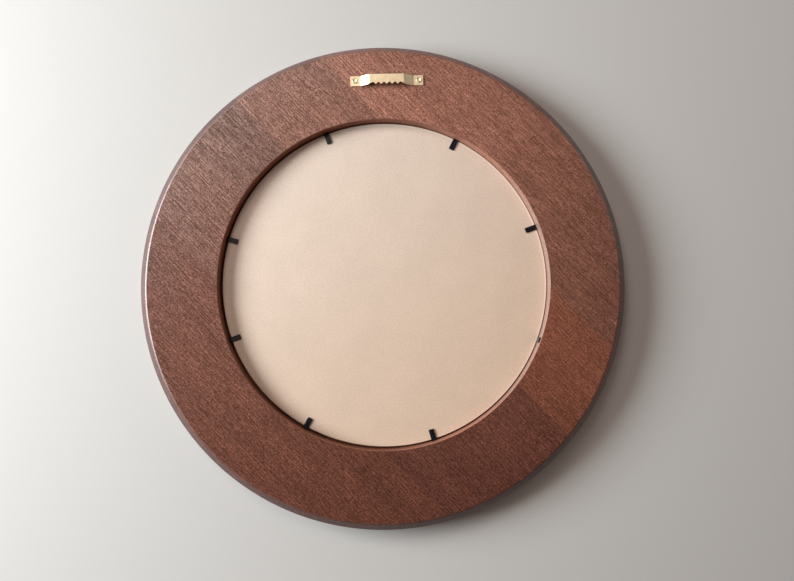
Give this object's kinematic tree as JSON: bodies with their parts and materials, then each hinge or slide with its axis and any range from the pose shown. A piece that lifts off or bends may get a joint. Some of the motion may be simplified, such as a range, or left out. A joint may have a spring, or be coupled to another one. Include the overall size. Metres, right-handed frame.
{
  "type": "round photo frame",
  "caption": "Round wooden photo frame with a rebate for pane, card and backing board, flexible retaining points that bend up, and a sawtooth hanger on the back.",
  "frame": {"origin": "centre of the ring, on the plane of its front face, on which it lies", "axes": "+Z out of the back of the frame; +Y from the centre towards the sawtooth hanger, which is up when the frame hangs; +X to the right as seen from the back"},
  "size_m": [0.2962, 0.2962, 0.023],
  "materials": {
    "stained_wood": "satin stain",
    "clear_pane": "clear",
    "white_card": "matt",
    "fibreboard": "smooth",
    "black_steel": "black",
    "brass_strip": "brass plated",
    "brass_nail": "brass plated"
  },
  "bodies": {
    "frame": {"stave_1_upper_right": "stained_wood", "stave_2_upper_left": "stained_wood", "stave_2_lower_right": "stained_wood", "stave_3_upper_left": "stained_wood", "stave_3_lower_right": "stained_wood", "stave_4_lower_left": "stained_wood", "pane": "clear_pane", "picture_card": "white_card", "backing_board": "fibreboard", "sawtooth_hanger": "brass_strip", "hanger_nail_left": "brass_nail", "hanger_nail_right": "brass_nail", "point_1_shank": "black_steel", "point_2_shank": "black_steel", "point_3_shank": "black_steel", "point_4_shank": "black_steel", "point_5_shank": "black_steel", "point_6_shank": "black_steel", "point_7_shank": "black_steel", "point_8_shank": "black_steel"},
    "point_1": {"point_1_leaf": "black_steel"},
    "point_2": {"point_2_leaf": "black_steel"},
    "point_3": {"point_3_leaf": "black_steel"},
    "point_4": {"point_4_leaf": "black_steel"},
    "point_5": {"point_5_leaf": "black_steel"},
    "point_6": {"point_6_leaf": "black_steel"},
    "point_7": {"point_7_leaf": "black_steel"},
    "point_8": {"point_8_leaf": "black_steel"}
  },
  "joints": [
    {"name": "point_1_bend", "type": "hinge", "parent": "frame", "child": "point_1", "pos_m": [0.0447, 0.08985, 0.01165], "axis": [-0.8953, 0.4454, 0], "range_deg": [0, 88]},
    {"name": "point_2_bend", "type": "hinge", "parent": "frame", "child": "point_2", "pos_m": [0.09409, 0.0349, 0.01165], "axis": [-0.3478, 0.9376, 0], "range_deg": [0, 88]},
    {"name": "point_3_bend", "type": "hinge", "parent": "frame", "child": "point_3", "pos_m": [0.09396, -0.03523, 0.01165], "axis": [0.351, 0.9364, 0], "range_deg": [-88, 0]},
    {"name": "point_4_bend", "type": "hinge", "parent": "frame", "child": "point_4", "pos_m": [0.03034, -0.09565, 0.01165], "axis": [0.9532, 0.3024, 0], "range_deg": [0, 88]},
    {"name": "point_5_bend", "type": "hinge", "parent": "frame", "child": "point_5", "pos_m": [-0.04781, -0.08823, 0.01165], "axis": [0.8792, -0.4764, 0], "range_deg": [0, 88]},
    {"name": "point_6_bend", "type": "hinge", "parent": "frame", "child": "point_6", "pos_m": [-0.09396, -0.03523, 0.01165], "axis": [0.351, -0.9364, 0], "range_deg": [0, 88]},
    {"name": "point_7_bend", "type": "hinge", "parent": "frame", "child": "point_7", "pos_m": [-0.09663, 0.02707, 0.01165], "axis": [-0.2698, -0.9629, 0], "range_deg": [0, 88]},
    {"name": "point_8_bend", "type": "hinge", "parent": "frame", "child": "point_8", "pos_m": [-0.03645, 0.0935, 0.01165], "axis": [-0.9317, -0.3633, 0], "range_deg": [0, 88]}
  ]
}
